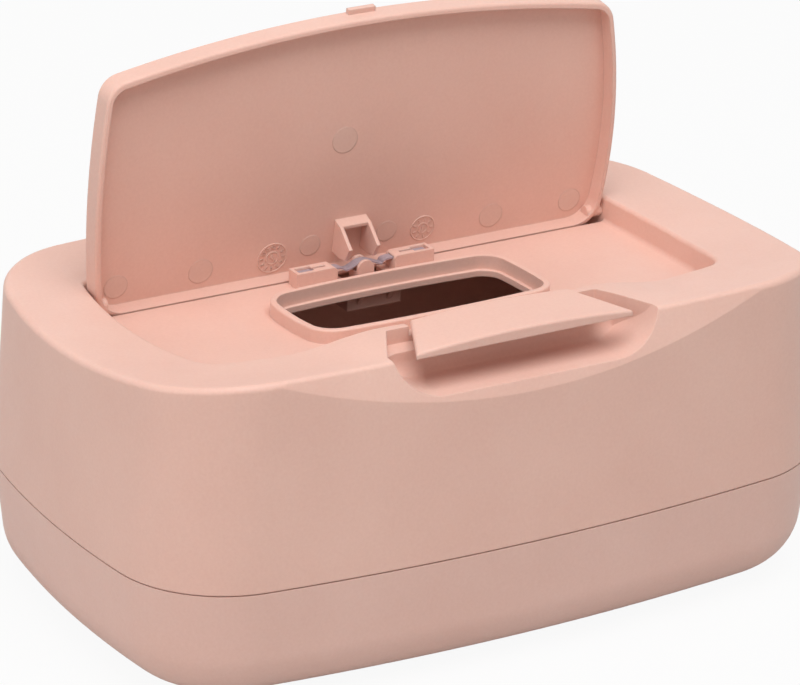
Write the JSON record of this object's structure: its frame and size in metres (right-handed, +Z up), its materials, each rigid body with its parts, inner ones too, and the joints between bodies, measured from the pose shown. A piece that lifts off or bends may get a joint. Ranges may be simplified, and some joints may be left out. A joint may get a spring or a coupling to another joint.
{
  "type": "baby wipes box",
  "caption": "Deep moulded wipes box with a base tray, a lift-off cover, a sprung pop-up lid over the dispensing slot and a wing-shaped push button.",
  "frame": {"origin": "centre of the box's footprint on the table, under its feet", "axes": "+X along the box's length, -Y towards the user and the push button, +Z up"},
  "size_m": [0.24, 0.1554, 0.1726],
  "materials": {
    "cover_plastic": "matt dusty pink with a very fine moulded grain",
    "tray_plastic": "matt dusty pink, a little lighter than the cover",
    "pin_steel": "plain drawn steel wire",
    "spring_steel": "grey spring strip, dull",
    "foot_rubber": "soft pale grey pads"
  },
  "bodies": {
    "base": {"base_tray": "tray_plastic", "foot_front_left": "foot_rubber", "foot_front_right": "foot_rubber", "foot_rear_left": "foot_rubber", "foot_rear_right": "foot_rubber"},
    "cover": {"top_cover": "cover_plastic", "leaf_spring": "spring_steel", "button_spring": "pin_steel", "button_pin_left": "pin_steel", "button_pin_right": "pin_steel"},
    "lid": {"lid": "cover_plastic"},
    "button": {"push_button": "cover_plastic"}
  },
  "joints": [
    {"name": "cover_lift", "type": "slide", "parent": "base", "child": "cover", "axis": [0, 0, 1], "range_m": [0, 0.12]},
    {"name": "lid_hinge", "type": "hinge", "parent": "cover", "child": "lid", "pos_m": [0, 0.035, 0.0899], "axis": [1, 0, 0], "range_deg": [0, 82.1], "stiffness_Nm_per_rad": 0.02, "springref_deg": -17.19, "deforming": ["leaf_spring"]},
    {"name": "button_hinge", "type": "hinge", "parent": "cover", "child": "button", "pos_m": [0, -0.0515, 0.093], "axis": [1, 0, 0], "range_deg": [0, 8], "stiffness_Nm_per_rad": 0.03, "springref_deg": -5.73, "deforming": ["button_spring"]}
  ]
}
